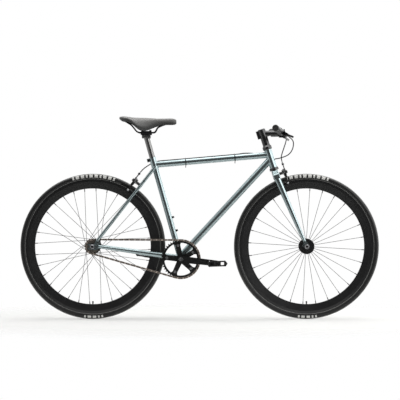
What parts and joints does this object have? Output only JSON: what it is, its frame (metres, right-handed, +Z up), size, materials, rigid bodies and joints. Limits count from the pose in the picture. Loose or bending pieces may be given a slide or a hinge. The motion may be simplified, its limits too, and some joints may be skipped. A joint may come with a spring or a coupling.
{
  "type": "fixed gear bicycle",
  "caption": "City bicycle with a slim round-tube frame, deep-section wheels, flat bar, rim brakes and chain drive; wheels, cranks, pedals, steering, levers and saddle post move.",
  "frame": {"origin": "on the ground midway between the two axles, in the bicycle's mid plane", "axes": "+X forward, +Y to the rider's left, +Z up; the chain is on the right, at negative Y"},
  "size_m": [1.676, 0.5712, 0.946],
  "materials": {
    "frame_paint": "gloss metallic paint",
    "black_alloy": "black anodised",
    "silver_alloy": "polished",
    "bright_steel": "bright",
    "black_steel": "black",
    "chain_steel": "brown steel",
    "tyre_rubber": "matt",
    "black_rubber": "matt",
    "black_plastic": "moulded",
    "saddle_leatherette": "grained"
  },
  "bodies": {
    "frame": {"head_tube": "frame_paint", "top_tube": "frame_paint", "down_tube": "frame_paint", "seat_tube": "frame_paint", "bottom_bracket_shell": "frame_paint", "chainstays": "frame_paint", "seatstays": "frame_paint", "rear_dropouts": "frame_paint", "frame_bolts": "black_steel", "headset_cups": "black_alloy", "bottom_bracket_cartridge": "black_steel", "rear_axle": "black_steel", "rear_axle_nuts": "bright_steel", "rear_brake_mount": "black_alloy", "cable_clips": "black_plastic", "rear_brake_cable": "black_plastic", "rear_brake_cable_loop": "black_plastic", "chain": "chain_steel"},
    "seat": {"seatpost": "black_alloy", "saddle_clamp": "black_alloy", "saddle_rails": "black_steel", "saddle_shell": "black_plastic", "saddle_cover": "saddle_leatherette"},
    "crankset": {"bottom_bracket_spindle": "bright_steel", "crank_arm_right": "black_alloy", "crank_arm_left": "black_alloy", "chainring": "black_alloy", "crankset_bolts": "silver_alloy", "pedal_axles": "bright_steel"},
    "right_pedal": {"pedal_right": "black_plastic"},
    "left_pedal": {"pedal_left": "black_plastic"},
    "rear_wheel": {"rear_tyre": "tyre_rubber", "rear_inner_tube": "black_rubber", "rear_rim": "black_alloy", "rear_spokes": "bright_steel", "rear_hub": "black_alloy", "rear_cog": "chain_steel"},
    "front_wheel": {"front_tyre": "tyre_rubber", "front_inner_tube": "black_rubber", "front_rim": "black_alloy", "front_spokes": "bright_steel", "front_hub": "black_alloy"},
    "steering": {"fork_crown": "frame_paint", "fork_blades": "frame_paint", "headset_spacers": "black_alloy", "stem": "black_alloy", "stem_bolts": "black_steel", "handlebar": "black_alloy", "grips": "black_rubber", "brake_lever_brackets": "black_alloy", "front_axle": "black_steel", "front_axle_nuts": "bright_steel", "front_brake_mount": "black_alloy", "front_brake_cable": "black_plastic"},
    "right_lever": {"brake_lever_right": "black_alloy"},
    "left_lever": {"brake_lever_left": "black_alloy"},
    "front_caliper_anchor_side": {"front_anchor_arm": "black_alloy"},
    "front_caliper_adjuster_side": {"front_adjuster_arm": "black_alloy"},
    "rear_caliper_anchor_side": {"rear_anchor_arm": "black_alloy"},
    "rear_caliper_adjuster_side": {"rear_adjuster_arm": "black_alloy"}
  },
  "joints": [
    {"name": "steering", "type": "hinge", "parent": "frame", "child": "steering", "pos_m": [0.3459, 0, 0.70668], "axis": [-0.309, 0, 0.9511], "range_deg": [-65, 65], "deforming": ["rear_brake_cable_loop"]},
    {"name": "saddle_height", "type": "slide", "parent": "frame", "child": "seat", "axis": [-0.2706, 0, 0.9627], "range_m": [-0.08, 0.06]},
    {"name": "crank_spin", "type": "hinge", "parent": "frame", "child": "crankset", "pos_m": [-0.08799, 0, 0.28], "axis": [0, 1, 0], "continuous": true, "deforming": ["chain"]},
    {"name": "right_pedal_spin", "type": "hinge", "parent": "crankset", "child": "right_pedal", "pos_m": [0.08095, -0.11, 0.26105], "axis": [0, 1, 0], "continuous": true},
    {"name": "left_pedal_spin", "type": "hinge", "parent": "crankset", "child": "left_pedal", "pos_m": [-0.25693, 0.11, 0.29895], "axis": [0, 1, 0], "continuous": true},
    {"name": "rear_wheel_spin", "type": "hinge", "parent": "frame", "child": "rear_wheel", "pos_m": [-0.49901, 0, 0.339], "axis": [0, 1, 0], "continuous": true},
    {"name": "front_wheel_spin", "type": "hinge", "parent": "steering", "child": "front_wheel", "pos_m": [0.49901, 0, 0.339], "axis": [0, 1, 0], "continuous": true},
    {"name": "right_lever_pull", "type": "hinge", "parent": "steering", "child": "right_lever", "pos_m": [0.39727, -0.14033, 0.858], "axis": [-0.4474, 0.0085, -0.8943], "range_deg": [0, 18], "stiffness_Nm_per_rad": 0.5, "springref_deg": -28.65},
    {"name": "left_lever_pull", "type": "hinge", "parent": "steering", "child": "left_lever", "pos_m": [0.39727, 0.14033, 0.858], "axis": [0.4474, 0.0085, 0.8943], "range_deg": [0, 18], "stiffness_Nm_per_rad": 0.5, "springref_deg": -28.65},
    {"name": "front_anchor_squeeze", "type": "hinge", "parent": "steering", "child": "front_caliper_anchor_side", "pos_m": [0.37936, -0.02, 0.68622], "axis": [0.9511, 0, 0.309], "range_deg": [0, 1.6]},
    {"name": "front_adjuster_squeeze", "type": "hinge", "parent": "steering", "child": "front_caliper_adjuster_side", "pos_m": [0.38787, 0, 0.68268], "axis": [-0.9511, 0, -0.309], "range_deg": [0, 1.6]},
    {"name": "rear_anchor_squeeze", "type": "hinge", "parent": "frame", "child": "rear_caliper_anchor_side", "pos_m": [-0.28663, -0.02, 0.63909], "axis": [0.787, 0, -0.617], "range_deg": [0, 1.6]},
    {"name": "rear_adjuster_squeeze", "type": "hinge", "parent": "frame", "child": "rear_caliper_adjuster_side", "pos_m": [-0.29584, 0, 0.63869], "axis": [-0.787, 0, 0.617], "range_deg": [0, 1.6]}
  ],
  "couplings": [
    {"joint": "rear_wheel_spin", "follows": "crank_spin", "ratio": 2.75},
    {"joint": "front_anchor_squeeze", "follows": "left_lever_pull", "ratio": 0.088889},
    {"joint": "front_adjuster_squeeze", "follows": "left_lever_pull", "ratio": 0.088889},
    {"joint": "rear_anchor_squeeze", "follows": "right_lever_pull", "ratio": 0.088889},
    {"joint": "rear_adjuster_squeeze", "follows": "right_lever_pull", "ratio": 0.088889}
  ]
}
